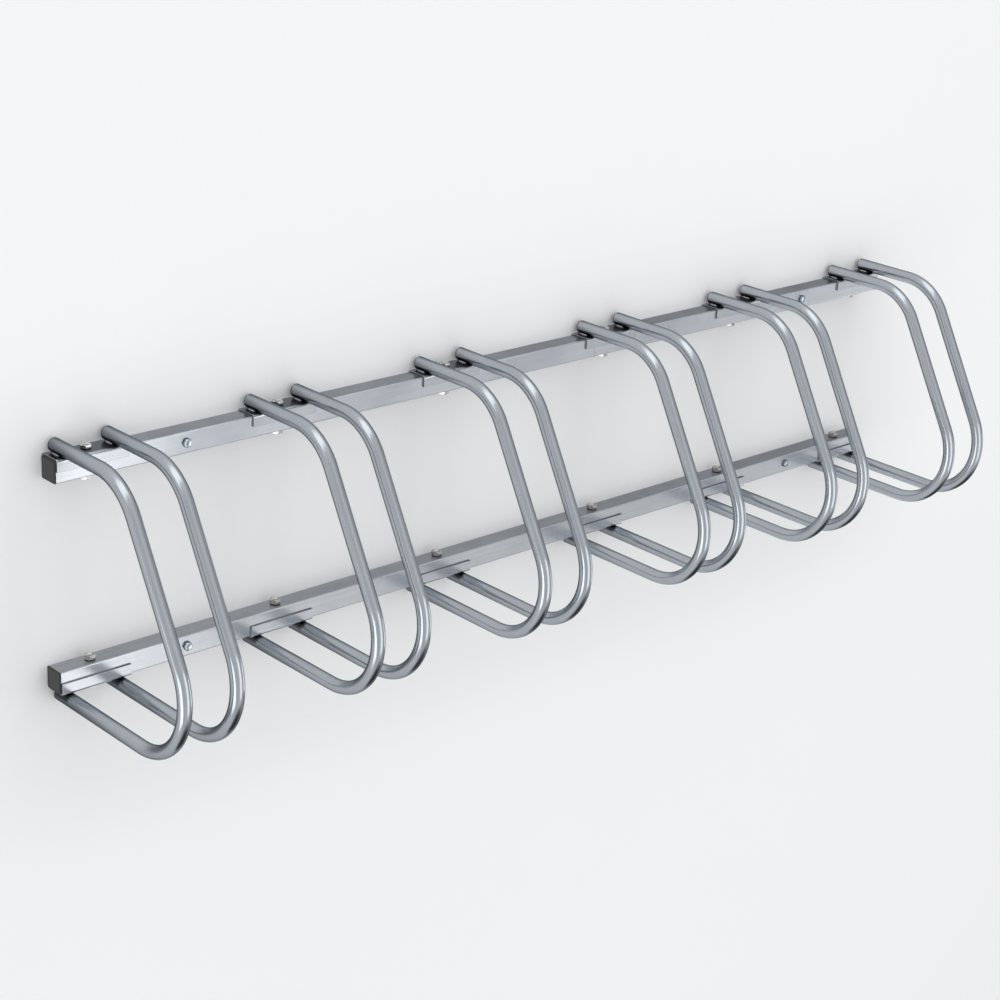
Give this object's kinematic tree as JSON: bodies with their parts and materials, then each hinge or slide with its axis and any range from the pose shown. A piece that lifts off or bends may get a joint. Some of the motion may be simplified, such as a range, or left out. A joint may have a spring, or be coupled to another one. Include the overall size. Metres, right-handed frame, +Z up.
{
  "type": "wall bike rack",
  "caption": "Wall-mounted bike rack with pairs of bent round-tube hoops, bolted by saddle brackets to an upper and a lower square-tube rail.",
  "frame": {"origin": "middle of the four wall screws, on the wall that the rack is screwed to", "axes": "+X along the rails, to the right as seen from in front; -Y out of the wall, towards the bicycle; +Y into the wall; +Z up"},
  "size_m": [1.877, 0.386, 0.42],
  "materials": {
    "galvanised_rail": "hot-dip galvanised, satin with fine drawn lines",
    "galvanised_sleeve": "galvanised, matt",
    "galvanised_hoop": "galvanised, smooth satin",
    "galvanised_bracket": "galvanised sheet, satin",
    "galvanised_weld": "galvanised weld bead, bright",
    "zinc_fastener": "bright zinc plate, slightly warm",
    "zinc_screw": "bright zinc plate, slightly blue",
    "plug_plastic": "moulded polyethylene, matt"
  },
  "bodies": {
    "root": {"upper_rail_left": "galvanised_rail", "upper_rail_right": "galvanised_rail", "upper_rail_joiner": "galvanised_sleeve", "upper_left_plug": "plug_plastic", "upper_right_plug": "plug_plastic", "lower_rail_left": "galvanised_rail", "lower_rail_right": "galvanised_rail", "lower_rail_joiner": "galvanised_sleeve", "lower_left_plug": "plug_plastic", "lower_right_plug": "plug_plastic", "hoop_1_left": "galvanised_hoop", "hoop_1_right": "galvanised_hoop", "hoop_2_left": "galvanised_hoop", "hoop_2_right": "galvanised_hoop", "hoop_3_left": "galvanised_hoop", "hoop_3_right": "galvanised_hoop", "hoop_4_left": "galvanised_hoop", "hoop_4_right": "galvanised_hoop", "hoop_5_left": "galvanised_hoop", "hoop_5_right": "galvanised_hoop", "hoop_6_left": "galvanised_hoop", "hoop_6_right": "galvanised_hoop", "upper_bracket_1": "galvanised_bracket", "upper_bracket_2": "galvanised_bracket", "upper_bracket_3": "galvanised_bracket", "upper_bracket_4": "galvanised_bracket", "upper_bracket_5": "galvanised_bracket", "upper_bracket_6": "galvanised_bracket", "lower_bracket_1": "galvanised_bracket", "lower_bracket_2": "galvanised_bracket", "lower_bracket_3": "galvanised_bracket", "lower_bracket_4": "galvanised_bracket", "lower_bracket_5": "galvanised_bracket", "lower_bracket_6": "galvanised_bracket", "upper_hoop_welds": "galvanised_weld", "upper_clamp_bolts": "zinc_fastener", "upper_clamp_nuts": "zinc_fastener", "lower_hoop_welds": "galvanised_weld", "lower_clamp_bolts": "zinc_fastener", "lower_clamp_nuts": "zinc_fastener", "wall_screws": "zinc_screw"}
  },
  "joints": []
}
